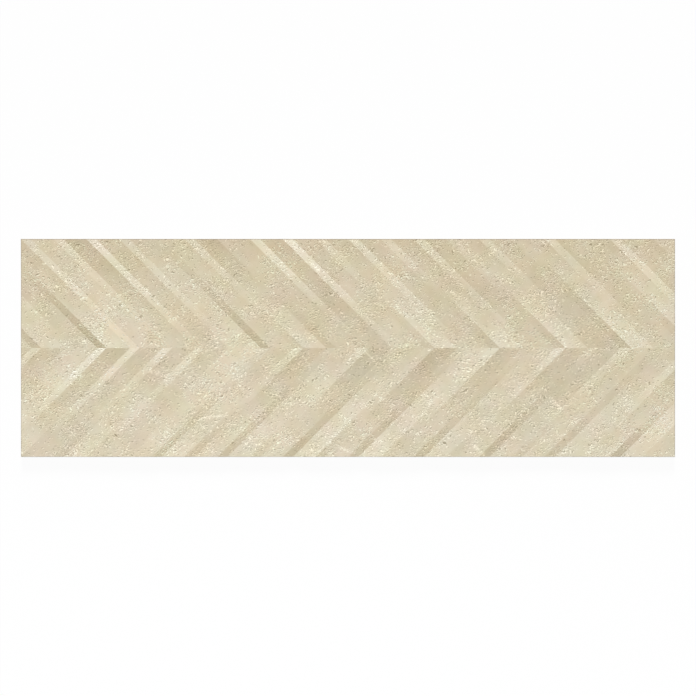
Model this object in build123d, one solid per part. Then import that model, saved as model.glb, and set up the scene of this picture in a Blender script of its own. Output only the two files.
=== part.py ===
"""Chevron relief wall tile: one pressed, fired and ground ceramic body.

The tile lies face up with its back on Z = 0, its length along X and its width along Y.
The face is folded into slanting strips that run from both long edges to a spine along the middle.
Each strip has a narrow facet and a wide one, and its folds climb or fall on their way to the spine,
so that most facets are slightly twisted. The back has the shallow grid of keys that adhesive grips.
"""
import os
from math import ceil, radians, tan

from build123d import *

# Tile body, in millimetres
TILE_LENGTH = 900.0
TILE_WIDTH = 300.0
BODY_THICKNESS = 8.0  # from the back to the lowest fold
RELIEF_DEPTH = 3.0  # from the lowest fold to the highest
ARRIS = 0.5  # narrow bevel ground around the face

# Strips of the relief, measured along the spine
STRIP_PITCH = 45.0
NARROW_FACET = 12.8  # of the first strip
NARROW_GROWTH = 0.1  # how much wider the narrow facet gets from strip to strip
FIRST_FOLD = 15.0  # from the left end to the first strip
ARM_ANGLE = 45.0  # between a strip and the spine

# Adhesive keys of the back
KEY_COLUMNS = 30
KEY_ROWS = 10
KEY_RIB = 4.0
KEY_MARGIN = 10.0
KEY_DEPTH = 0.8
KEY_DRAFT = 20.0  # degrees that a key's walls lean, so that the press lets go

# Heights of the folds, strip by strip from the left end, in ninths of the relief depth.
# Of each pair, the first digit is the fold before the narrow facet and the second the fold after it.
FOLD_STEPS = 9
UPPER_RIM = "45 53 55 94 41 92 62 34 50 65 72 93 53 62 42 63 64 53 66 63 55 73 45"
SPINE = "47 33 39 45 35 35 44 36 57 24 46 55 57 22 47 22 58 33 36 33 47 23 55"
LOWER_RIM = "44 42 53 44 32 55 55 73 75 73 65 51 75 51 76 62 55 84 42 41 45 62 55"

OVERCUT = 1.0  # how far a cutter stands proud of what it cuts

HALF_LENGTH = TILE_LENGTH / 2
HALF_WIDTH = TILE_WIDTH / 2
ARM_RUN = HALF_WIDTH / tan(radians(ARM_ANGLE))  # how far a strip slants along the length
STRIP_COUNT = ceil((TILE_LENGTH + ARM_RUN) / STRIP_PITCH) + 1
UP = Vector(0, 0, 1)


def fold_points(steps, start, y):
    """Points where the folds cross a line along the tile, from one strip before its start."""
    pairs = steps.split()
    points = []
    for strip in range(-1, STRIP_COUNT):
        x = start + FIRST_FOLD + strip * STRIP_PITCH
        before, after = (int(step) * RELIEF_DEPTH / FOLD_STEPS for step in pairs[strip % len(pairs)])
        points.append(Vector(x, y, BODY_THICKNESS + before))
        narrow = NARROW_FACET + strip * NARROW_GROWTH
        points.append(Vector(x + narrow, y, BODY_THICKNESS + after))
    return points


def section(folds):
    """Upright section of the tile under one row of fold points, down to the back."""
    feet = [Vector(point.X, point.Y, 0) for point in (folds[-1], folds[0])]
    return make_face(Polyline(*folds, *feet, close=True))


def point_above(folds, x):
    """Point of a row of folds at one place along the tile, on the straight between its neighbours."""
    for before, after in zip(folds, folds[1:]):
        if before.X <= x < after.X:
            return before + (after - before) * ((x - before.X) / (after.X - before.X))


def end_edge(spine, rim, x):
    """Points of a tile end from the spine out to one rim, one at each fold that the end cuts."""
    near = OVERCUT / HALF_WIDTH  # a fold this close to the spine or rim needs no point of its own
    points = []
    for inner, outer in zip(spine, rim):
        travel = (inner.X - x) / ARM_RUN
        if near < travel < 1 - near:
            points.append(inner + (outer - inner) * travel)
    return [*points, point_above(rim, x)]


def arris_cutter(edge, outward):
    """Wedge along a run of edge points that takes the corner off at 45 degrees."""
    first = edge[0] + (edge[0] - edge[1]).normalized() * OVERCUT
    last = edge[-1] + (edge[-1] - edge[-2]).normalized() * OVERCUT
    wedges = []
    for point in (first, *edge, last):
        foot = point + outward * OVERCUT - UP * (ARRIS + OVERCUT)
        corner = point + outward * OVERCUT + UP * OVERCUT
        tip = point + UP * OVERCUT - outward * (ARRIS + OVERCUT)
        wedges.append(make_face(Polyline(foot, corner, tip, close=True)))
    return loft(wedges, ruled=True)


def folded_body():
    """Tile body with its chevron face, cut square and ground along its four upper edges."""
    upper_rim = fold_points(UPPER_RIM, -HALF_LENGTH - ARM_RUN, HALF_WIDTH)
    spine = fold_points(SPINE, -HALF_LENGTH, 0)
    lower_rim = fold_points(LOWER_RIM, -HALF_LENGTH - ARM_RUN, -HALF_WIDTH)
    folded = loft([section(upper_rim), section(spine), section(lower_rim)], ruled=True)
    height = BODY_THICKNESS + RELIEF_DEPTH
    body = folded & Box(TILE_LENGTH, TILE_WIDTH, height, align=(Align.CENTER, Align.CENTER, Align.MIN))
    body -= arris_cutter(upper_rim, Vector(0, 1, 0))
    body -= arris_cutter(lower_rim, Vector(0, -1, 0))
    for side in (-1, 1):
        x = side * HALF_LENGTH
        upper_end = end_edge(spine, upper_rim, x)
        lower_end = end_edge(spine, lower_rim, x)
        edge = [*reversed(lower_end), point_above(spine, x), *upper_end]
        body -= arris_cutter(edge, Vector(side, 0, 0))
    return body


def back_keys():
    """Grid of shallow drafted recesses that leaves ribs and a plain margin standing."""
    pitch_x = (TILE_LENGTH - 2 * KEY_MARGIN + KEY_RIB) / KEY_COLUMNS
    pitch_y = (TILE_WIDTH - 2 * KEY_MARGIN + KEY_RIB) / KEY_ROWS
    key = extrude(Rectangle(pitch_x - KEY_RIB, pitch_y - KEY_RIB), KEY_DEPTH, taper=KEY_DRAFT)
    return [place * key for place in GridLocations(pitch_x, pitch_y, KEY_COLUMNS, KEY_ROWS)]


wall_tile = folded_body() - back_keys()

os.makedirs("parts", exist_ok=True)
export_step(wall_tile, "parts/wall_tile.step")
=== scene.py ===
# %% [markdown]
# # A chevron relief wall tile
# The real tile is one slab of clay powder, pressed in a steel mould whose face is folded into chevrons.
# It is then glazed, printed with a fine stone grain, fired once and ground square on all four sides.
# The solid model already has those folds at their true size, so this lesson measures it, lays a much
# finer surface over the same folds, and gives that surface its glaze, print and raw clay.

# %% Load the frame
import math

import bpy
import numpy as np
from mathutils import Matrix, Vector


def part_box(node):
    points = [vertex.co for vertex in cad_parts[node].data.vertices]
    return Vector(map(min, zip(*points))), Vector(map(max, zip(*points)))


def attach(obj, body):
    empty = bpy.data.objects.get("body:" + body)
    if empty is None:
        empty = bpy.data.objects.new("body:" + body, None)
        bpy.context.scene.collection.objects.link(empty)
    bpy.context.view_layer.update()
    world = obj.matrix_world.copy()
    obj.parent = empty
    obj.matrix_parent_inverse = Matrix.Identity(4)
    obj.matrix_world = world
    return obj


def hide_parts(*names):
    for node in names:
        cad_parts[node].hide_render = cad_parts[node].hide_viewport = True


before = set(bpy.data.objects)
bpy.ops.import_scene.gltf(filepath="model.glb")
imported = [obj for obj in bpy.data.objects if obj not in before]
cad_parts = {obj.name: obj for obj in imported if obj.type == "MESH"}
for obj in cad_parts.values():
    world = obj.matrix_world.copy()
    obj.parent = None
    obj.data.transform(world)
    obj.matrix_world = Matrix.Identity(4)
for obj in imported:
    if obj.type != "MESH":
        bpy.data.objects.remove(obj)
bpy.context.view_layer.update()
cad_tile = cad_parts["wall_tile"]
low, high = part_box("wall_tile")
print("tile box in mm:", [round(1000 * size, 2) for size in high - low])

# %% [markdown]
# ## Where the folds run
# On the tile, straight folds slant from the long edges to a spine along the middle, at 45 degrees.
# So one number tells which fold a point lies near: its distance from the left end plus its distance
# from the spine. Tracing each fold would also do, but this number finds them all with a few sizes, which
# are those of the solid model.

# %% Strip sizes, in metres
STRIP_PITCH = 0.045
NARROW_FACET = 0.0128
NARROW_GROWTH = 0.0001
FIRST_FOLD = 0.015
ARRIS = 0.0005
length = high.x - low.x
half_width = (high.y - low.y) / 2
reach = length + half_width

strip_starts = np.arange(FIRST_FOLD, reach - ARRIS, STRIP_PITCH)
narrow_ends = strip_starts + NARROW_FACET + NARROW_GROWTH * np.arange(len(strip_starts))
folds = np.sort(np.concatenate([[0.0], strip_starts, narrow_ends, [reach]]))
print("folds across the face:", len(folds))

# %% [markdown]
# ## Gauging the folds
# A fold is a straight line in space, so two heights are enough to know it. They could be read by hand with
# the 3D cursor. A ray cast straight down onto the solid model does it like a dial gauge, at two places
# well apart on each fold, and never nearer to an edge than the ground arris reaches.

# %% Gauge the folds
GAUGE_INSET = 2 * ARRIS  # keeps the gauge off the ground edges
FIRST_STATION = 0.1  # share of the stretch of a fold that is on the tile
SECOND_STATION = 0.9


def gauge(x, y):
    """Height of the solid model's face straight below a point, found by a ray."""
    start = Vector((x, y, 2 * high.z))
    point = cad_tile.ray_cast(start, Vector((0, 0, -1)))[1]
    return point.z


def fold_line(fold, side):
    """Height of one fold at the spine, and its climb per metre away from the spine.

    The gauge reads two stations on the stretch of the fold that is on the tile, and the line runs on.
    """
    nearest = max(0.0, fold - length)
    farthest = min(half_width, fold)
    stretch = farthest - nearest
    stations = [nearest + FIRST_STATION * stretch, nearest + SECOND_STATION * stretch]
    heights = []
    for distance in stations:
        x = min(max(fold - distance, GAUGE_INSET), length - GAUGE_INSET)
        y = min(distance, half_width - GAUGE_INSET)
        heights.append(gauge(low.x + x, side * y))
    climb = (heights[1] - heights[0]) / max(stations[1] - stations[0], GAUGE_INSET)
    return heights[0] - climb * stations[0], climb


bpy.context.view_layer.update()
fold_lines = np.array([[fold_line(fold, side) for fold in folds] for side in (-1, 1)])
print("fold heights at the spine in mm:", (1000 * fold_lines[1, :6, 0]).round(2))

# %% [markdown]
# ## The folded face as one formula
# Between two folds the face runs straight from one to the other, so a facet whose folds climb
# differently comes out slightly twisted, as the pressed one is. Modelling each facet as a polygon
# would also work, but a formula gives the height anywhere, which the fine surface needs.


# %% Face height
def face_height(x, y):
    """Height of the face at points given as arrays.

    The fold coordinate is x from the left end plus the distance from the spine. The two folds on either
    side of it each have a height there, and the face is their mean, weighted by nearness.
    """
    distance = np.abs(y)
    across = np.clip(x - low.x + distance, folds[0], folds[-1])
    after = np.clip(np.searchsorted(folds, across, side="right"), 1, len(folds) - 1)
    before = after - 1
    side = (y > 0).astype(int)
    height_before = fold_lines[side, before, 0] + fold_lines[side, before, 1] * distance
    height_after = fold_lines[side, after, 0] + fold_lines[side, after, 1] * distance
    share = (across - folds[before]) / (folds[after] - folds[before])
    return height_before + (height_after - height_before) * share


print("height at the middle of the face in mm:", (1000 * face_height(np.zeros(1), np.zeros(1))).round(2))

# %% [markdown]
# ## The slow waves of a pressed face
# No pressed and fired face is dead flat: powder packs a little unevenly, and glaze pools a little.
# The waves are hundredths of a millimetre high, yet a raking light shows them. A few plane waves in
# scattered directions, added up, look uneven enough, and they are the same on every run.

# %% Surface waves
WAVE_HEIGHT = 0.00002
WAVE_COUNT = 14
SHORTEST_WAVE = 0.011
LONGEST_WAVE = 0.045
wave_seed = np.random.default_rng(11)
wave_lengths = wave_seed.uniform(SHORTEST_WAVE, LONGEST_WAVE, WAVE_COUNT)
wave_angles = wave_seed.uniform(0, math.pi, WAVE_COUNT)
wave_phases = wave_seed.uniform(0, 2 * math.pi, WAVE_COUNT)


def surface_waves(x, y):
    """Sum of plane waves, each a sine of the distance along its own direction, kept at or below zero."""
    total = np.zeros_like(x)
    for wave, angle, phase in zip(wave_lengths, wave_angles, wave_phases):
        along = x * math.cos(angle) + y * math.sin(angle)
        total += wave / wave_lengths.max() * np.sin(2 * math.pi * along / wave + phase)
    return WAVE_HEIGHT * (total / np.abs(total).max() - 1)


print("waves:", WAVE_COUNT, "at most this deep in mm:", 2000 * WAVE_HEIGHT)

# %% [markdown]
# ## The fine face grid
# A square grid whose step divides the strips into thirds has evenly spaced folds on its cells' diagonals.
# The real narrow facets are a little under a third of the pitch, and widen along the tile, so the points
# are pushed sideways until those diagonals lie on the real folds. Points on the ends slide along them.
# Two more lines just inside each edge make the ground arris, whose outermost points drop by its width,
# and a narrow border where the glaze changes beside it.

# %% Face points
CELL = STRIP_PITCH / 24
columns = round(length / CELL)
rows = round(2 * half_width / CELL)
line_x = np.linspace(low.x, high.x, columns + 1)
line_y = np.linspace(low.y, high.y, rows + 1)
edge_lines = np.array([ARRIS, 2 * ARRIS])
line_x = np.sort(np.concatenate([line_x, low.x + edge_lines, high.x - edge_lines]))
line_y = np.sort(np.concatenate([line_y, low.y + edge_lines, high.y - edge_lines]))
grid_x, grid_y = np.meshgrid(line_x, line_y)


def push_to_folds(x, y):
    """Points moved so that evenly spaced folds land on the real ones.

    The push is the real fold coordinate less the even one. Moving along the tile or away from the spine
    changes that coordinate alike, so the push is shared out: all of it runs along the tile at the spine
    and the long edges, and all of it runs along the edge at the two ends.
    """
    even_ends = strip_starts + STRIP_PITCH / 3
    even = np.sort(np.concatenate([[0.0], strip_starts, even_ends, [length, reach]]))
    real = np.sort(np.concatenate([folds, [length]]))
    distance = np.abs(y)
    across = x - low.x + distance
    push = np.interp(across, even, real) - across
    to_end = np.maximum(np.minimum(x - low.x, high.x - x) - ARRIS, 0)
    to_side = np.maximum(np.minimum(distance, half_width - distance - ARRIS), 0)
    total = to_end + to_side
    outward = np.divide(to_side, total, out=np.zeros_like(total), where=total > 0)
    push = np.where(total > 0, push, 0)
    return x + (1 - outward) * push, y + np.sign(y) * outward * push


grid_x, grid_y = push_to_folds(grid_x, grid_y)
grid_z = face_height(grid_x, grid_y) + surface_waves(grid_x, grid_y)
grid_z[[0, -1], :] -= ARRIS
grid_z[1:-1, [0, -1]] -= ARRIS
face_points = np.stack([grid_x, grid_y, grid_z], axis=-1).reshape(-1, 3)
print("face points:", len(face_points), "highest in mm:", round(1000 * grid_z.max(), 3))

# %% [markdown]
# ## Splitting the cells
# Four points that don't lie in one plane make a face that Blender bends as it likes, so each cell is split
# into two triangles here. The cut runs along the diagonal that follows the strips, and it changes direction
# at the spine. The folds then stay straight and crisp with no extra points.


# %% Face triangles
def split_cells(number, rising):
    """Two triangles for each cell of a grid of point numbers, facing up.

    Where rising is true the cut runs from the lower left corner to the upper right, and elsewhere
    from the lower right corner to the upper left.
    """
    a, b = number[:-1, :-1], number[:-1, 1:]
    d, c = number[1:, :-1], number[1:, 1:]
    first = np.where(rising[..., None], np.stack([a, b, c], -1), np.stack([a, b, d], -1))
    second = np.where(rising[..., None], np.stack([a, c, d], -1), np.stack([b, c, d], -1))
    return np.concatenate([first.reshape(-1, 3), second.reshape(-1, 3)])


face_number = np.arange(len(face_points)).reshape(grid_x.shape)
cell_middle = (line_y[:-1] + line_y[1:]) / 2
below_spine = np.repeat((cell_middle < 0)[:, None], len(line_x) - 1, axis=1)
face_triangles = split_cells(face_number, below_spine)
print("face triangles:", len(face_triangles))

# %% [markdown]
# ## The ground sides
# The sides are cut by diamond wheels after firing, so they are plain upright walls. Near the top they
# show the glaze as a thin line over the clay. A cube scaled to fit could give plain walls, but not a rim
# that follows the folds. So each wall is the rim of the face carried straight down, first to the foot of
# the glaze and then to the back.

# %% Side walls
GLAZE_THICKNESS = 0.0004


def loop_round(number):
    """Point numbers round the edge of a grid, anticlockwise from its lower left corner."""
    return np.concatenate([number[0, :-1], number[:-1, -1], number[-1, :0:-1], number[:0:-1, 0]])


def wall_between(upper, lower):
    """Triangles of an upright band between two loops with like points, facing outwards."""
    upper_next = np.roll(upper, -1)
    lower_next = np.roll(lower, -1)
    first = np.stack([lower, lower_next, upper_next], -1)
    second = np.stack([lower, upper_next, upper], -1)
    return np.concatenate([first, second])


rim = loop_round(face_number)
rim_points = face_points[rim]
glaze_points = rim_points - [0, 0, GLAZE_THICKNESS]
foot_points = rim_points * [1, 1, 0] + [0, 0, low.z]
glaze_loop = len(face_points) + np.arange(len(rim))
foot_loop = glaze_loop + len(rim)
glaze_band = wall_between(rim, glaze_loop)
clay_band = wall_between(glaze_loop, foot_loop)
print("side triangles:", len(glaze_band) + len(clay_band))

# %% [markdown]
# ## The keyed back
# The back has a grid of shallow recesses that the adhesive grips. Their walls lean so that the press lets
# go. A recess could be cut with a Boolean, but its depth is also a formula: full depth inside, nothing on
# the ribs, and the lesser of the two slopes in between, on a grid with four lines for each recess.

# %% Back recesses
KEY_COLUMNS = 30
KEY_ROWS = 10
KEY_RIB = 0.004
KEY_MARGIN = 0.010
KEY_DEPTH = 0.0008
KEY_DRAFT = math.radians(20)


def key_lines(start, end, count):
    """Grid lines across a row of recesses: outer and inner edge on both sides of each one."""
    pitch = (end - start - 2 * KEY_MARGIN + KEY_RIB) / count
    lean = KEY_DEPTH * math.tan(KEY_DRAFT)
    outer = (pitch - KEY_RIB) / 2
    middles = (start + end) / 2 + pitch * (np.arange(count) - (count - 1) / 2)
    return (middles[:, None] + np.array([-outer, lean - outer, outer - lean, outer])).ravel()


back_x = key_lines(low.x, high.x, KEY_COLUMNS)
back_y = key_lines(low.y, high.y, KEY_ROWS)
inner_edge = np.array([0, 1, 1, 0])
deep_x = np.tile(inner_edge, KEY_COLUMNS)
deep_y = np.tile(inner_edge, KEY_ROWS)
back_grid_x, back_grid_y = np.meshgrid(back_x, back_y)
back_grid_z = low.z + KEY_DEPTH * np.minimum.outer(deep_y, deep_x)
back_points = np.stack([back_grid_x, back_grid_y, back_grid_z], axis=-1).reshape(-1, 3)
back_number = foot_loop[-1] + 1 + np.arange(len(back_points)).reshape(back_grid_x.shape)

step_x = np.diff(deep_x)
step_y = np.diff(deep_y)
back_rising = np.multiply.outer(step_y, step_x) >= 0
back_triangles = split_cells(back_number, back_rising)[:, ::-1]
print("recesses:", KEY_COLUMNS * KEY_ROWS, "back triangles:", len(back_triangles))

# %% [markdown]
# ## The plain margin
# Round the recesses the back has a flat border, which keeps the edges strong. It joins two loops with
# different numbers of points: the foot of the sides and the edge of the recesses. Blender's Bridge tool
# would do it by hand. Here the two loops are closed like a zip, side by side, with no gap.


# %% Plain margin of the back
def zip_sides(outer, inner, outer_at, inner_at):
    """Triangles between two parallel runs of points that have different counts.

    Both runs go from 0 to 1. Each step of one run is joined to the point of the other run that is
    current when its middle is passed, as the teeth of a zip close in turn.
    """
    outer_middle = (outer_at[:-1] + outer_at[1:]) / 2
    inner_middle = (inner_at[:-1] + inner_at[1:]) / 2
    apex_inner = inner[np.searchsorted(inner_middle, outer_middle)]
    apex_outer = outer[np.searchsorted(outer_middle, inner_middle, side="right")]
    from_outer = np.stack([outer[1:], outer[:-1], apex_inner], -1)
    from_inner = np.stack([inner[:-1], inner[1:], apex_outer], -1)
    return np.concatenate([from_outer, from_inner])


def sides_of(loop, across, along):
    """The four straight runs of a loop round a grid, each with its last corner."""
    corners = np.cumsum([0, across, along, across, along])
    closed = np.append(loop, loop[0])
    return [closed[start:end + 1] for start, end in zip(corners[:-1], corners[1:])]


shell_points = np.concatenate([face_points, glaze_points, foot_points, back_points])
outer_sides = sides_of(foot_loop, len(line_x) - 1, len(line_y) - 1)
inner_sides = sides_of(loop_round(back_number), len(back_x) - 1, len(back_y) - 1)
margin_triangles = []
for outer, inner in zip(outer_sides, inner_sides):
    places = []
    for run in (outer, inner):
        travel = np.linalg.norm(shell_points[run] - shell_points[run[0]], axis=1)
        places.append(travel / travel[-1])
    margin_triangles.append(zip_sides(outer, inner, *places))
margin_triangles = np.concatenate(margin_triangles)
print("margin triangles:", len(margin_triangles))

# %% [markdown]
# ## One closed mesh
# The face, sides and back share their points where they meet, so the tile is one closed skin with no seam
# to weld. The arrays go into the mesh whole, which is far quicker than adding faces one at a time. Shading
# is smooth, so that the twisted facets and slow waves show no triangles, and real corners stay sharp.

# %% Build the tile mesh
CORNER_ANGLE = math.radians(12)
triangles = np.concatenate(
    [face_triangles, glaze_band, clay_band, back_triangles, margin_triangles]
)
is_clay = np.arange(len(triangles)) >= len(face_triangles) + len(glaze_band)

tile_mesh = bpy.data.meshes.new("chevron_tile")
tile_mesh.vertices.add(len(shell_points))
tile_mesh.vertices.foreach_set("co", shell_points.astype(np.float32).ravel())
tile_mesh.loops.add(triangles.size)
tile_mesh.loops.foreach_set("vertex_index", triangles.astype(np.int32).ravel())
tile_mesh.polygons.add(len(triangles))
tile_mesh.polygons.foreach_set("loop_start", np.arange(0, triangles.size, 3, dtype=np.int32))
tile_mesh.polygons.foreach_set("material_index", is_clay.astype(np.int32))
tile_mesh.update(calc_edges=True)
tile_mesh.shade_smooth()
tile_mesh.set_sharp_from_angle(angle=CORNER_ANGLE)
print("points:", len(shell_points), "triangles:", len(triangles))

# %% [markdown]
# ## Crisp folds
# Many folds are too shallow for Blender to find by their angle, and smooth shading would round them off,
# though a steel mould presses them sharp. An Edge Split modifier would tear the skin open, so the edges
# that lie along a fold or along the spine are found by their place and marked sharp.

# %% Keep the folds crisp
SAME_PLACE = 1e-6
edge_ends = np.empty(2 * len(tile_mesh.edges), np.int32)
tile_mesh.edges.foreach_get("vertices", edge_ends)
edge_ends = edge_ends.reshape(-1, 2)
across = (grid_x - low.x + np.abs(grid_y)).ravel()
nearest_fold = np.abs(across[:, None] - folds).argmin(axis=1)
on_fold = np.abs(across - folds[nearest_fold]) < SAME_PLACE
fold_of = np.full(len(shell_points), -1)
fold_of[: len(across)] = np.where(on_fold, nearest_fold, -1)
on_spine = np.zeros(len(shell_points), bool)
on_spine[: len(across)] = np.abs(grid_y).ravel() < SAME_PLACE

start, end = edge_ends.T
is_crease = (fold_of[start] >= 0) & (fold_of[start] == fold_of[end])
is_crease |= on_spine[start] & on_spine[end]
sharp = np.empty(len(edge_ends), bool)
sharp_edges = tile_mesh.attributes["sharp_edge"]
sharp_edges.data.foreach_get("value", sharp)
sharp_edges.data.foreach_set("value", sharp | is_crease)

tile = bpy.data.objects.new("chevron_tile", tile_mesh)
bpy.context.scene.collection.objects.link(tile)
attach(tile, "root")
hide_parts("wall_tile")
print("crease edges:", int(is_crease.sum()))

# %% [markdown]
# ## Painted light and shade at the rim and on the facets
# The upper long edge faces the low key, so its rim is painted dark brown as painted shade. The lower one
# faces away, so its rim is painted paler as painted light. Along the two ends the rim is only darker. The
# ground is painted facet by facet with light and shade too: ivory on the facets that lean towards the upper
# edge and the key, browner on those that lean away. Painting by hand would do, but both follow the shape,
# so they are worked out from it and kept on the mesh for the glaze to read.

# %% Glaze attributes
# Painted shade on the upper rim, painted light on the lower rim, and a darker rim along the ends.
PAINTED_SHADE_AT_TOP = -0.92
DARKER_AT_ENDS = -0.45
PAINTED_LIGHT_AT_FOOT = 0.45
STEEPEST = 0.2
rim_paint = np.zeros(grid_x.shape)
rim_paint[:, [0, 1, -2, -1]] = DARKER_AT_ENDS
rim_paint[:2, :] = PAINTED_LIGHT_AT_FOOT
rim_paint[-2:, :] = PAINTED_SHADE_AT_TOP
rim_paint_share = np.zeros(len(shell_points))
rim_paint_share[face_number] = rim_paint
rim_paint_share[glaze_loop] = rim_paint_share[rim]
rim_paint_attribute = tile_mesh.attributes.new("rim_painted_light_and_shade", "FLOAT", "POINT")
rim_paint_attribute.data.foreach_set("value", rim_paint_share.astype(np.float32))

# Painted light and shade: each facet's lean towards the key at the upper edge picks ivory or brown.
corner = shell_points[triangles]
facing = np.cross(corner[:, 1] - corner[:, 0], corner[:, 2] - corner[:, 0])
on_face = np.arange(len(triangles)) < len(face_triangles)
lean = np.divide(facing[:, 1], facing[:, 2], out=np.zeros(len(triangles)), where=on_face)
lean = np.clip(lean, -STEEPEST, STEEPEST)
lean_painted_light = tile_mesh.attributes.new("lean_painted_light", "FLOAT", "FACE")
lean_painted_light.data.foreach_set("value", lean.astype(np.float32))
print("steepest lean of a facet, percent:", round(100 * np.abs(lean).max(), 1))

# %% [markdown]
# ## Strips with a tone of their own
# Some strips are made paler or darker than their lean alone would make them. Painting them by hand would
# do, but a short list is easier to change.
# Each row has the facet, counted from the left end along the spine, and how many percent lighter it is:
# above the spine at the spine and at the rim, then below the spine at the spine and at the rim. The
# percents were rounded from how far each facet still was from the photo's brightness.

# %% Strip tones
STRIP_TONES = {
    3: (2, 6, 0, 0),
    4: (0, -2, 0, 8),
    5: (4, 4, -4, 6),
    6: (2, 0, 0, 4),
    7: (22, -12, 18, -8),
    9: (12, -4, 8, -4),
    10: (-2, 2, -4, 6),
    11: (14, -10, 6, -2),
    13: (10, -10, 8, -4),
    14: (6, -2, 8, -2),
    15: (-8, 4, -8, 6),
    17: (4, -10, 6, -4),
    19: (2, -2, -10, 2),
    22: (-10, 4, -14, 4),
    26: (2, 0, -6, 2),
    32: (2, -2, -4, 0),
    33: (0, -6, 0, -2),
    34: (2, -4, -2, -2),
    35: (-4, 0, -4, -4),
    36: (-6, 2, -10, 0),
    38: (10, -4, 10, -2),
    41: (6, 0, 0, 2),
    42: (8, -4, -2, 4),
    43: (16, -2, 18, -4),
    44: (-6, 2, 10, 2),
}
tone_ends = np.zeros((len(folds), 4))
tone_ends[list(STRIP_TONES)] = np.array(list(STRIP_TONES.values())) / 100
middle = corner.mean(axis=1)
from_spine = np.abs(middle[:, 1])
facet = np.searchsorted(folds, middle[:, 0] - low.x + from_spine) - 1
above = middle[:, 1] > 0
at_spine = np.where(above, tone_ends[facet, 0], tone_ends[facet, 2])
at_rim = np.where(above, tone_ends[facet, 1], tone_ends[facet, 3])
tone = at_spine + (at_rim - at_spine) * from_spine / half_width
strip_tone = tile_mesh.attributes.new("strip_tone", "FLOAT", "FACE")
strip_tone.data.foreach_set("value", np.where(is_clay, 0, tone).astype(np.float32))
print("strips with their own tone:", len(STRIP_TONES))

# %% [markdown]
# ## A few light strokes
# The print also has a few short pale strokes, each in its own place, which noise would never put there.
# They could be painted on. Every row here is one stroke as it lies in the photo, in millimetres from the
# middle of the tile: both ends and the width. Each point of the mesh keeps how near it is to a stroke, and
# the print crowds its grains there.

# %% Stroke attribute
STROKES = [
    (-272, -31, -250, -39, 5),
    (-206, -98, -167, -92, 5),
    (25, -5, 39, -22, 4),
    (-10, -138, 8, -144, 6),
    (175, -136, 186, -147, 7),
    (-246, 37, -235, 42, 6),
    (279, -70, 293, -84, 6),
    (142, 78, 155, 68, 5),
    (-52, 118, -41, 107, 5),
    (-154, 15, -148, 19, 5),
]


def nearness(points, stroke):
    """One along the middle half of a stroke's width, falling evenly to zero at its sides."""
    start = np.array(stroke[:2]) / 1000
    end = np.array(stroke[2:4]) / 1000
    width = stroke[4] / 1000
    along = (points - start) @ (end - start) / ((end - start) @ (end - start))
    nearest = start + np.clip(along, 0, 1)[:, None] * (end - start)
    return np.clip(2 - 4 * np.linalg.norm(points - nearest, axis=1) / width, 0, 1)


stroke_share = np.max([nearness(shell_points[:, :2], stroke) for stroke in STROKES], axis=0)
light_stroke = tile_mesh.attributes.new("light_stroke", "FLOAT", "POINT")
light_stroke.data.foreach_set("value", stroke_share.astype(np.float32))
print("points on strokes:", int((stroke_share > 0).sum()))

# %% [markdown]
# ## Small helpers for the finishes
# A finish in Blender is a net of nodes, and it can be joined up by hand in the Shader Editor. In a script
# each node takes several lines, so a few helpers, one for each sort of step, keep a finish short to read.


# %% Node helpers
def new_finish(name):
    """Empty material with its shader joined to the output."""
    finish = bpy.data.materials.new(name)
    finish.use_nodes = True
    net = finish.node_tree
    net.nodes.clear()
    shader = net.nodes.new("ShaderNodeBsdfPrincipled")
    output = net.nodes.new("ShaderNodeOutputMaterial")
    net.links.new(shader.outputs["BSDF"], output.inputs["Surface"])
    return finish, net, shader


def add_node(net, kind, inputs=None, **settings):
    """Node of one kind; an input is either a plain value or another node's output to join to it."""
    node = net.nodes.new(kind)
    for setting, value in settings.items():
        setattr(node, setting, value)
    for socket, value in (inputs or {}).items():
        if isinstance(value, bpy.types.NodeSocket):
            net.links.new(value, node.inputs[socket])
        else:
            node.inputs[socket].default_value = value
    return node


def noise(net, place, scale, detail=2.0, roughness=0.5):
    """Cloudy noise from 0 to 1 with features about one over scale metres wide."""
    inputs = {"Vector": place, "Scale": scale, "Detail": detail, "Roughness": roughness}
    return add_node(net, "ShaderNodeTexNoise", inputs).outputs["Fac"]


def remap(net, value, from_low, from_high, to_low, to_high, smooth=False):
    """Carries one range of a value over to another, straight or with eased ends."""
    inputs = {"Value": value, "From Min": from_low, "From Max": from_high}
    inputs |= {"To Min": to_low, "To Max": to_high}
    kind = "SMOOTHSTEP" if smooth else "LINEAR"
    return add_node(net, "ShaderNodeMapRange", inputs, interpolation_type=kind).outputs["Result"]


def calculate(net, operation, first, second):
    """One step of arithmetic on two values."""
    return add_node(net, "ShaderNodeMath", {0: first, 1: second}, operation=operation).outputs["Value"]


def blend(net, share, first, second):
    """Colour that runs from the first to the second as the share goes from 0 to 1."""
    return add_node(net, "ShaderNodeMix", {0: share, 6: first, 7: second}, data_type="RGBA").outputs[2]


def tint(net, colour, by):
    """Colour times a colour."""
    return add_node(net, "ShaderNodeVectorMath", {0: colour, 1: by}, operation="MULTIPLY").outputs["Vector"]


def mesh_value(net, name):
    """A value kept on the mesh."""
    return add_node(net, "ShaderNodeAttribute", attribute_name=name).outputs["Fac"]


def at(net, place, stretch=(1, 1, 1), shift=(0, 0, 0)):
    """Coordinates stretched and then moved, so that noises do not repeat each other."""
    inputs = {"Vector": place, "Scale": stretch, "Location": shift}
    return add_node(net, "ShaderNodeMapping", inputs).outputs["Vector"]


def clouds(net, place, scale, detail, roughness, spread):
    """Noise from 0 to 1 over the given spread on either side of its middle value."""
    value = noise(net, place, scale, detail, roughness)
    return remap(net, value, 0.5 - spread, 0.5 + spread, 0, 1)


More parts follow.
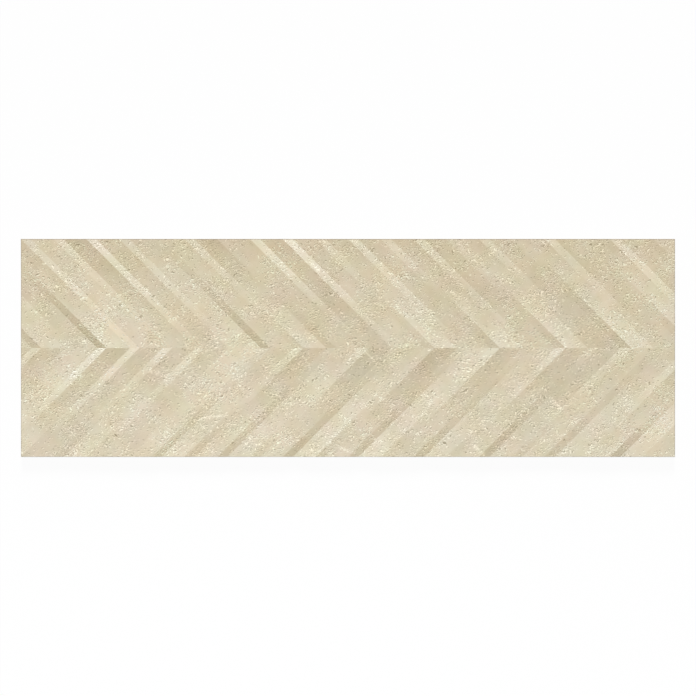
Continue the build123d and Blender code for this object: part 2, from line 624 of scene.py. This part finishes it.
def cell_value(net, place, scale):
    """Random value from 0 to 1 of the Voronoi cell that a place lies in."""
    cells = add_node(net, "ShaderNodeTexVoronoi", {"Vector": place, "Scale": scale}).outputs["Color"]
    return add_node(net, "ShaderNodeSeparateColor", {"Color": cells}).outputs["Red"]


# %% [markdown]
# ## The printed ground
# The face is printed with a beige stone. Its ground is painted ivory or brown by the lean of each facet, as
# painted light and shade, and some strips are made paler or darker. An image of a stone would be one way to
# give it. Values kept on the mesh do the same here, change exactly at the folds and need no picture.

# %% Stone ground
# Ivory is painted light and brown is painted shade, chosen by each facet's lean towards the key.
PAINTED_SHADE_BROWN = (0.702, 0.581, 0.379, 1)
PAINTED_LIGHT_IVORY = (0.687, 0.637, 0.499, 1)
FULL_LEAN = 0.15
DARKER_STRIP = (0.80, 0.79, 0.76, 1)
PALER_STRIP = (1.20, 1.21, 1.24, 1)
FULL_TONE = 0.2

glaze, net, shader = new_finish("printed_stone_glaze")
place = add_node(net, "ShaderNodeTexCoord").outputs["Object"]
spot = add_node(net, "ShaderNodeSeparateXYZ", {0: place}).outputs
shade = remap(net, mesh_value(net, "lean_painted_light"), -FULL_LEAN, FULL_LEAN, 0, 1)
stone = blend(net, shade, PAINTED_SHADE_BROWN, PAINTED_LIGHT_IVORY)
own_tone = remap(net, mesh_value(net, "strip_tone"), -FULL_TONE, FULL_TONE, 0, 1)
stone = tint(net, stone, blend(net, own_tone, DARKER_STRIP, PALER_STRIP))
print("ground nodes:", len(net.nodes))

# %% [markdown]
# ## Clouds behind the grains
# From place to place the stone is a little rosier or greener and bluer or yellower, and it is paler or
# darker in long clouds that follow the strips. One noise for all three would tie colour to brightness,
# which stone doesn't do, so each has its own, moved well away from the others. The long clouds come from
# coordinates that run across and along the strips. The whole face also turns cooler towards its foot.

# %% Stone clouds
GREENER = (0.980, 1.008, 1, 1)
ROSIER = (1.020, 0.992, 1, 1)
YELLOWER = (1, 1, 0.965, 1)
BLUER = (1, 1, 1.035, 1)
DARKER_CLOUD = (0.90, 0.886, 0.855, 1)
PALER_CLOUD = (1.10, 1.114, 1.145, 1)
WARM_TOP = (1.006, 0.995, 0.972, 1)
COOL_FOOT = (0.994, 1.005, 1.028, 1)
STRIP_STRETCH = (0.80, 0.62, 5)

outward = calculate(net, "ABSOLUTE", spot["Y"], 0)
across_strips = calculate(net, "ADD", spot["X"], outward)
along_strips = calculate(net, "SUBTRACT", spot["X"], outward)
half = calculate(net, "SIGN", spot["Y"], 0)
strip_axes = {0: across_strips, 1: along_strips, 2: half}
strips = add_node(net, "ShaderNodeCombineXYZ", strip_axes).outputs["Vector"]
strip_place = at(net, strips, stretch=STRIP_STRETCH)
rosy = clouds(net, at(net, place, shift=(3, 0, 0)), 34, 2, 0.5, 0.15)
stone = tint(net, stone, blend(net, rosy, GREENER, ROSIER))
blue = clouds(net, at(net, place, shift=(0, 5, 0)), 30, 2, 0.5, 0.15)
stone = tint(net, stone, blend(net, blue, YELLOWER, BLUER))
pale = clouds(net, at(net, strip_place, shift=(7, 0, 0)), 12, 6, 0.78, 0.2)
stone = tint(net, stone, blend(net, pale, DARKER_CLOUD, PALER_CLOUD))
towards_foot = remap(net, spot["Y"], low.y, high.y, 1, 0)
stone = tint(net, stone, blend(net, towards_foot, WARM_TOP, COOL_FOOT))
print("nodes with clouds:", len(net.nodes))

# %% [markdown]
# ## Grains with a painted shadow
# Close to, the stone is a smooth ground strewn with tiny pale grains, crowded in some patches and rare in
# others, and each has a painted shadow on one side. Painting them would take days, so the cells of a
# Voronoi
# texture serve as grains: a cell turns pale where its random value passes a limit, and the limit falls
# where grains crowd. The same cells, read a little to one side, give the painted shadows, and swirled
# coordinates turn the grains every way.

# %% Stone grains
LIGHT_GRAIN = (1.42, 1.45, 1.53, 1)
PAINTED_GRAIN_SHADOW = (0.57, 0.55, 0.50, 1)
AS_IT_IS = (1, 1, 1, 1)
GRAIN_SCALE = 950
GRAIN_STRETCH = (0.62, 1.45, 1)
SHADOW_OFFSET = (0.0005, -0.0009, 0)
PATCH_SCALE = 28
PATCH_EDGE = (0.40, 0.62)
RARE = 0.018
CROWDED = 0.235
STROKE_CROWDING = 0.32
SWIRL_SCALE = 110
SWIRL_REACH = 0.010


def chosen(net, value, share):
    """One in the share of cells with the highest values, and zero in the rest."""
    return remap(net, calculate(net, "ADD", value, share), 0.99, 1, 0, 1)


patches = noise(net, strip_place, PATCH_SCALE, 4, 0.6)
crowding = remap(net, patches, *PATCH_EDGE, RARE, CROWDED, smooth=True)
swirl = add_node(net, "ShaderNodeTexNoise", {"Vector": place, "Scale": SWIRL_SCALE, "Detail": 1.0})
swirl_inputs = {0: swirl.outputs["Color"], 1: (SWIRL_REACH,) * 3, 2: place}
swirled = add_node(net, "ShaderNodeVectorMath", swirl_inputs, operation="MULTIPLY_ADD").outputs["Vector"]
grain = cell_value(net, at(net, swirled, stretch=GRAIN_STRETCH), GRAIN_SCALE)
# Painted shadow: the same cells, read at a fixed offset, darken one side of each grain.
shadow_place = at(net, swirled, shift=SHADOW_OFFSET)
shadow_cell = cell_value(net, at(net, shadow_place, stretch=GRAIN_STRETCH), GRAIN_SCALE)
stroke_crowding = calculate(net, "MULTIPLY", mesh_value(net, "light_stroke"), STROKE_CROWDING)
light_grain = chosen(net, grain, calculate(net, "ADD", crowding, stroke_crowding))
grain_shadow = chosen(net, shadow_cell, crowding)
grain_shadow = calculate(net, "MULTIPLY", grain_shadow, remap(net, light_grain, 0, 1, 1, 0))
stone = tint(net, stone, blend(net, light_grain, AS_IT_IS, LIGHT_GRAIN))
stone = tint(net, stone, blend(net, grain_shadow, AS_IT_IS, PAINTED_GRAIN_SHADOW))
print("nodes with grains:", len(net.nodes))

# %% [markdown]
# ## The glaze itself
# Over the print lies a matt glaze. Its rim is painted: dark brown at the upper edge as painted shade,
# darker along the ends, and paler at the foot as painted light. A coat shader could stand for the glaze,
# but a matt glaze hardly mirrors anything, so one rough shader is enough. It is rougher where grains crowd,
# and they stand out by a hair.

# %% Glaze, with painted light and shade at the rim
# Painted shade for the upper rim, which also darkens the ends, and painted light for the lower rim.
PAINTED_RIM_SHADE = (0.20, 0.15, 0.10, 1)
PAINTED_FOOT_LIGHT = (0.88, 0.85, 0.78, 1)
WHITEST_GLAZE = (0.96, 0.94, 0.88)
SMOOTHER = 0.74
ROUGHER = 0.86
SHEEN = 0.25
GRAIN_HEIGHT = 0.00002
rim_paint_value = mesh_value(net, "rim_painted_light_and_shade")
# Painted shade darkens the upper rim and the ends, and painted light makes the foot paler.
stone = blend(net, remap(net, rim_paint_value, 0, -1, 0, 1), stone, PAINTED_RIM_SHADE)
stone = blend(net, remap(net, rim_paint_value, 0, 1, 0, 1), stone, PAINTED_FOOT_LIGHT)
whitest = {0: stone, 1: WHITEST_GLAZE}
stone = add_node(net, "ShaderNodeVectorMath", whitest, operation="MINIMUM").outputs["Vector"]
net.links.new(stone, shader.inputs["Base Color"])
net.links.new(remap(net, crowding, RARE, CROWDED, SMOOTHER, ROUGHER), shader.inputs["Roughness"])
shader.inputs["Specular IOR Level"].default_value = SHEEN
bump = add_node(net, "ShaderNodeBump", {"Height": grain, "Distance": GRAIN_HEIGHT, "Strength": 0.5})
net.links.new(bump.outputs["Normal"], shader.inputs["Normal"])
tile_mesh.materials.append(glaze)
print("glaze nodes:", len(net.nodes))

# %% [markdown]
# ## The raw clay
# Below the glaze the body is bare: pale fired clay with darker and lighter crumbs of crushed stone in it.
# The sides have fine level scratches from the grinding wheels, and the ribs of the back keep a chalky wash
# that stops the tile from sticking in the kiln. Three finishes would do, but the clay is the same and only
# the marks on it differ, so one is enough. A value on each triangle says which ones are ground.

# %% Ground sides
first_ground = len(face_triangles) + len(glaze_band)
is_ground = np.zeros(len(triangles))
is_ground[first_ground:first_ground + len(clay_band)] = 1
ground_side = tile_mesh.attributes.new("ground_side", "FLOAT", "FACE")
ground_side.data.foreach_set("value", is_ground.astype(np.float32))
print("ground triangles:", int(is_ground.sum()))

# %% Raw clay
CLAY = (0.40, 0.32, 0.225, 1)
PALE_CLAY = (0.48, 0.39, 0.285, 1)
DARK_CRUMB = (0.50, 0.46, 0.42, 1)
LIGHT_CRUMB = (1.30, 1.32, 1.36, 1)
CLAY_SCALE = 45
CRUMB_SCALE = 900

clay, net, shader = new_finish("raw_clay")
place = add_node(net, "ShaderNodeTexCoord").outputs["Object"]
body = blend(net, clouds(net, place, CLAY_SCALE, 5, 0.7, 0.15), CLAY, PALE_CLAY)
crumb = cell_value(net, place, CRUMB_SCALE)
body = tint(net, body, blend(net, remap(net, crumb, 0.90, 0.97, 0, 1), AS_IT_IS, DARK_CRUMB))
body = tint(net, body, blend(net, remap(net, crumb, 0.10, 0.03, 0, 1), AS_IT_IS, LIGHT_CRUMB))
print("clay nodes:", len(net.nodes))

# %% [markdown]
# ## Marks of making on the clay
# Grinding leaves level scratches on the sides, and the wash rubs off the ribs in patches. Both could be
# separate finishes on their own faces. Noise stretched flat gives the scratches, and the height above the
# bed tells the ribs from the recesses.

# %% Scratches and kiln wash
SCRATCHED = (0.84, 0.83, 0.81, 1)
SCRATCH_SCALE = 700
SCRATCH_STRETCH = (0.03, 0.03, 4)
KILN_WASH = (0.62, 0.59, 0.53, 1)
WASH_SCALE = 70
WASH_DEPTH = 0.0002
CRUMB_HEIGHT = 0.00003
scratch_place = at(net, place, stretch=SCRATCH_STRETCH)
scratch = noise(net, scratch_place, SCRATCH_SCALE, 3, 0.7)
scratch = calculate(net, "MULTIPLY", scratch, mesh_value(net, "ground_side"))
body = tint(net, body, blend(net, remap(net, scratch, 0.45, 0.65, 0, 1), AS_IT_IS, SCRATCHED))
height = add_node(net, "ShaderNodeSeparateXYZ", {0: place}).outputs["Z"]
rib = remap(net, height, WASH_DEPTH, 0, 0, 1)
wash = remap(net, noise(net, place, WASH_SCALE, 5, 0.75), 0.42, 0.62, 0.1, 0.85)
wash = calculate(net, "MULTIPLY", wash, rib)
body = blend(net, wash, body, KILN_WASH)
net.links.new(body, shader.inputs["Base Color"])
shader.inputs["Roughness"].default_value = 0.9
relief = calculate(net, "ADD", crumb, scratch)
bump = add_node(net, "ShaderNodeBump", {"Height": relief, "Distance": CRUMB_HEIGHT, "Strength": 0.6})
net.links.new(bump.outputs["Normal"], shader.inputs["Normal"])
tile_mesh.materials.append(clay)
print("nodes with marks:", len(net.nodes))

# %% [markdown]
# ## The floor
# The tile lies on a plain white floor. To the camera the floor has to look white, and a brighter lamp would
# do that but would wash out the tile. So the camera, and any ray that mirrors or passes through, sees
# the floor glow, while for the light that falls on the tile it is only a pale matt sheet.

# %% Stage
FLOOR_REACH = 15
FLOOR_WHITE = (0.9, 0.9, 0.9, 1)
GLOW_SHARE = 0.96


def seen_directly(net):
    """One for rays from the camera and rays that mirror or pass through, and zero for light."""
    ray = add_node(net, "ShaderNodeLightPath").outputs
    seen = calculate(net, "MAXIMUM", ray["Is Camera Ray"], ray["Is Glossy Ray"])
    return calculate(net, "MAXIMUM", seen, ray["Is Transmission Ray"])


floor_corners = [(-1, -1, 0), (1, -1, 0), (1, 1, 0), (-1, 1, 0)]
floor_mesh = bpy.data.meshes.new("floor")
floor_mesh.from_pydata(FLOOR_REACH * np.array(floor_corners, float), [], [(0, 1, 2, 3)])
floor = bpy.data.objects.new("floor", floor_mesh)
bpy.context.scene.collection.objects.link(floor)

floor_finish, net, shader = new_finish("white_floor")
shader.inputs["Base Color"].default_value = FLOOR_WHITE
shader.inputs["Roughness"].default_value = 0.9
output = net.nodes["Material Output"]
share = calculate(net, "MULTIPLY", seen_directly(net), GLOW_SHARE)
glow = add_node(net, "ShaderNodeEmission", {"Strength": 1.0}).outputs["Emission"]
mixed = add_node(net, "ShaderNodeMixShader", {0: share, 1: shader.outputs["BSDF"], 2: glow})
net.links.new(mixed.outputs["Shader"], output.inputs["Surface"])
floor_mesh.materials.append(floor_finish)
print("floor side in metres:", 2 * FLOOR_REACH)

# %% [markdown]
# ## The light
# A relief as shallow as this shows only in raking light. A soft sun stands low behind the upper edge, a
# panel in front fills the shadows a little cooler, and the sky gives the rest. Lamps could be turned up by
# eye, but here each gets its share of the light that a level white sheet would need to come out white.

# %% Raking key
KEY_ELEVATION = math.radians(21.6)
KEY_SOFTNESS = math.radians(14)
KEY_SHARE = 0.70
key_data = bpy.data.lights.new("raking_key", "SUN")
key_data.energy = KEY_SHARE * math.pi / math.sin(KEY_ELEVATION)
key_data.angle = KEY_SOFTNESS
key = bpy.data.objects.new("raking_key", key_data)
key.rotation_euler = (KEY_ELEVATION - math.pi / 2, 0, 0)
bpy.context.scene.collection.objects.link(key)
print("key strength:", round(key_data.energy, 2))

# %% Fill panel
FILL_SHARE = 0.18
FILL_PLACE = Vector((-0.12, -0.75, 1.0))
FILL_LENGTH = 1.6
FILL_WIDTH = 0.3
FILL_COLOUR = (0.97, 1.0, 1.06)
FILL_SAMPLES = 41
fill_data = bpy.data.lights.new("fill_panel", "AREA")
fill_data.shape = "RECTANGLE"
fill_data.size = FILL_LENGTH
fill_data.size_y = FILL_WIDTH
fill_data.color = FILL_COLOUR
fill = bpy.data.objects.new("fill_panel", fill_data)
fill.location = FILL_PLACE
fill.rotation_euler = (-FILL_PLACE).to_track_quat("-Z", "Y").to_euler()
bpy.context.scene.collection.objects.link(fill)
spread = np.linspace(-FILL_LENGTH / 2, FILL_LENGTH / 2, FILL_SAMPLES)
far = np.sqrt(spread ** 2 + FILL_PLACE.length_squared)
received = np.mean((FILL_PLACE.length / far) * (FILL_PLACE.z / far) / (math.pi * far ** 2))
fill_data.energy = FILL_SHARE * math.pi / received
print("fill power in watts:", round(fill_data.energy, 2))

# %% Sky
SKY_SHARE = 0.12
world = bpy.data.worlds.new("studio")
world.use_nodes = True
bpy.context.scene.world = world
net = world.node_tree
net.nodes.clear()
strength = remap(net, seen_directly(net), 0, 1, SKY_SHARE, 1.0)
sky = add_node(net, "ShaderNodeBackground", {"Strength": strength})
add_node(net, "ShaderNodeOutputWorld", {"Surface": sky.outputs["Background"]})
print("shares of light:", KEY_SHARE, FILL_SHARE, SKY_SHARE)

# %% [markdown]
# ## The camera
# The photo looks square onto the face, with no sides in sight. An orthographic camera would give just that,
# but a real one stands some metres off with a long lens. The lens is worked out from how many pixels of
# the photo's width the tile takes up.

# %% Camera
PHOTO_WIDTH = 696
TILE_PIXELS = 654
CAMERA_HEIGHT = 4.0
camera_data = bpy.data.cameras.new("camera")
rim_height = rim_points[:, 2].mean()
camera_data.lens = camera_data.sensor_width * CAMERA_HEIGHT / (length * PHOTO_WIDTH / TILE_PIXELS)
camera = bpy.data.objects.new("camera", camera_data)
camera.location = ((low.x + high.x) / 2, (low.y + high.y) / 2, rim_height + CAMERA_HEIGHT)
bpy.context.scene.collection.objects.link(camera)
bpy.context.scene.camera = camera
bpy.context.scene.view_settings.view_transform = "Standard"
print("lens in mm:", round(camera_data.lens, 1))
